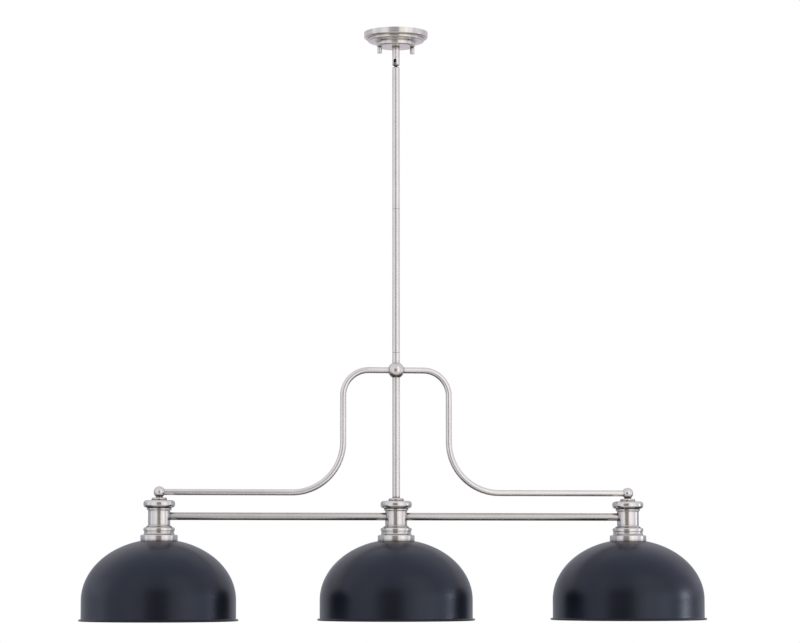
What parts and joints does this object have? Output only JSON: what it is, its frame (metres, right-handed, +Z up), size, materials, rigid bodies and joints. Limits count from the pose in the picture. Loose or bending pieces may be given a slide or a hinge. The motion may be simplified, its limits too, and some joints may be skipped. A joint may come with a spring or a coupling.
{
  "type": "billiard light",
  "caption": "Hanging billiard light: black dome shades on turned nickel holders, joined by a bar and curved arms to a ball hub on a long rod, with a swivel and a round ceiling canopy.",
  "frame": {"origin": "centre of the ceiling plane: the mounting bracket's top face and the canopy's rim, on the rod's axis", "axes": "+Z up into the ceiling, +X along the bar towards the right-hand lamp of the picture, -Y towards the camera"},
  "size_m": [1.3208, 0.3302, 1.2446],
  "materials": {
    "brushed_nickel": "satin nickel, finely brushed",
    "zinc_steel": "zinc plated",
    "shade_black": "satin black powder coat outside, white inside",
    "socket_phenolic": "moulded phenolic",
    "socket_brass": "bare",
    "hickey_iron": "plain casting",
    "ground_green": "green dyed",
    "wire_jacket": "extruded jacket",
    "wire_nut_orange": "moulded",
    "terminal_white": "moulded"
  },
  "bodies": {
    "ceiling_mount": {"mounting_bracket": "zinc_steel", "bracket_studs": "zinc_steel", "stud_locknuts": "zinc_steel", "ground_screw": "ground_green", "canopy": "brushed_nickel", "swivel_nipple": "zinc_steel", "swivel_washer": "zinc_steel", "swivel_locknut": "zinc_steel", "feed_leads": "wire_jacket", "wire_nuts": "wire_nut_orange"},
    "cap_nut_left": {"cap_nut_left": "brushed_nickel"},
    "cap_nut_right": {"cap_nut_right": "brushed_nickel"},
    "swivel_housing": {"swivel_housing": "brushed_nickel"},
    "swivel_ball": {"swivel_ball": "brushed_nickel"},
    "pendant": {"swivel_stem": "brushed_nickel", "rod_upper": "brushed_nickel", "rod_lower": "brushed_nickel", "hub_stub": "brushed_nickel", "centre_stem": "brushed_nickel", "rod_nipples": "zinc_steel", "hub_nipple": "zinc_steel", "hub_ball": "brushed_nickel", "arm_left": "brushed_nickel", "arm_right": "brushed_nickel", "end_ball_left": "brushed_nickel", "end_ball_right": "brushed_nickel", "bar_left": "brushed_nickel", "bar_right": "brushed_nickel", "bar_nipples": "zinc_steel", "bar_locknuts": "zinc_steel", "holder_collars": "brushed_nickel", "holder_hickeys": "hickey_iron", "holder_nipples": "zinc_steel", "cup_locknuts": "zinc_steel", "screw_shells": "socket_brass", "socket_contacts": "socket_brass", "terminal_block": "terminal_white", "supply_cable": "wire_jacket", "branch_cables": "wire_jacket", "holder_ring_left": "brushed_nickel", "holder_column_left": "brushed_nickel", "holder_cup_left": "brushed_nickel", "socket_left": "socket_phenolic", "shade_left": "shade_black", "holder_ring_centre": "brushed_nickel", "holder_column_centre": "brushed_nickel", "holder_cup_centre": "brushed_nickel", "socket_centre": "socket_phenolic", "shade_centre": "shade_black", "holder_ring_right": "brushed_nickel", "holder_column_right": "brushed_nickel", "holder_cup_right": "brushed_nickel", "socket_right": "socket_phenolic", "shade_right": "shade_black"},
    "shade_ring_left": {"shade_ring_left": "socket_phenolic"},
    "shade_ring_centre": {"shade_ring_centre": "socket_phenolic"},
    "shade_ring_right": {"shade_ring_right": "socket_phenolic"}
  },
  "joints": [
    {"name": "cap_nut_left_turn", "type": "hinge", "parent": "ceiling_mount", "child": "cap_nut_left", "pos_m": [-0.03492, 0, -0.03815], "axis": [0, 0, 1], "continuous": true},
    {"name": "cap_nut_right_turn", "type": "hinge", "parent": "ceiling_mount", "child": "cap_nut_right", "pos_m": [0.03492, 0, -0.03815], "axis": [0, 0, 1], "continuous": true},
    {"name": "swivel_turn", "type": "hinge", "parent": "ceiling_mount", "child": "swivel_housing", "pos_m": [0, 0, -0.0506], "axis": [0, 0, 1], "continuous": true},
    {"name": "swivel_tilt", "type": "hinge", "parent": "swivel_housing", "child": "swivel_ball", "pos_m": [0, 0, -0.0666], "axis": [0.9205, -0.3907, 0], "range_deg": [-20, 20]},
    {"name": "rod_spin", "type": "hinge", "parent": "swivel_ball", "child": "pendant", "pos_m": [0, 0, -0.0666], "axis": [0, 0, 1], "continuous": true},
    {"name": "shade_ring_left_turn", "type": "hinge", "parent": "pendant", "child": "shade_ring_left", "pos_m": [-0.4953, 0, -1.0833], "axis": [0, 0, 1], "continuous": true},
    {"name": "shade_ring_centre_turn", "type": "hinge", "parent": "pendant", "child": "shade_ring_centre", "pos_m": [0, 0, -1.0833], "axis": [0, 0, 1], "continuous": true},
    {"name": "shade_ring_right_turn", "type": "hinge", "parent": "pendant", "child": "shade_ring_right", "pos_m": [0.4953, 0, -1.0833], "axis": [0, 0, 1], "continuous": true}
  ]
}
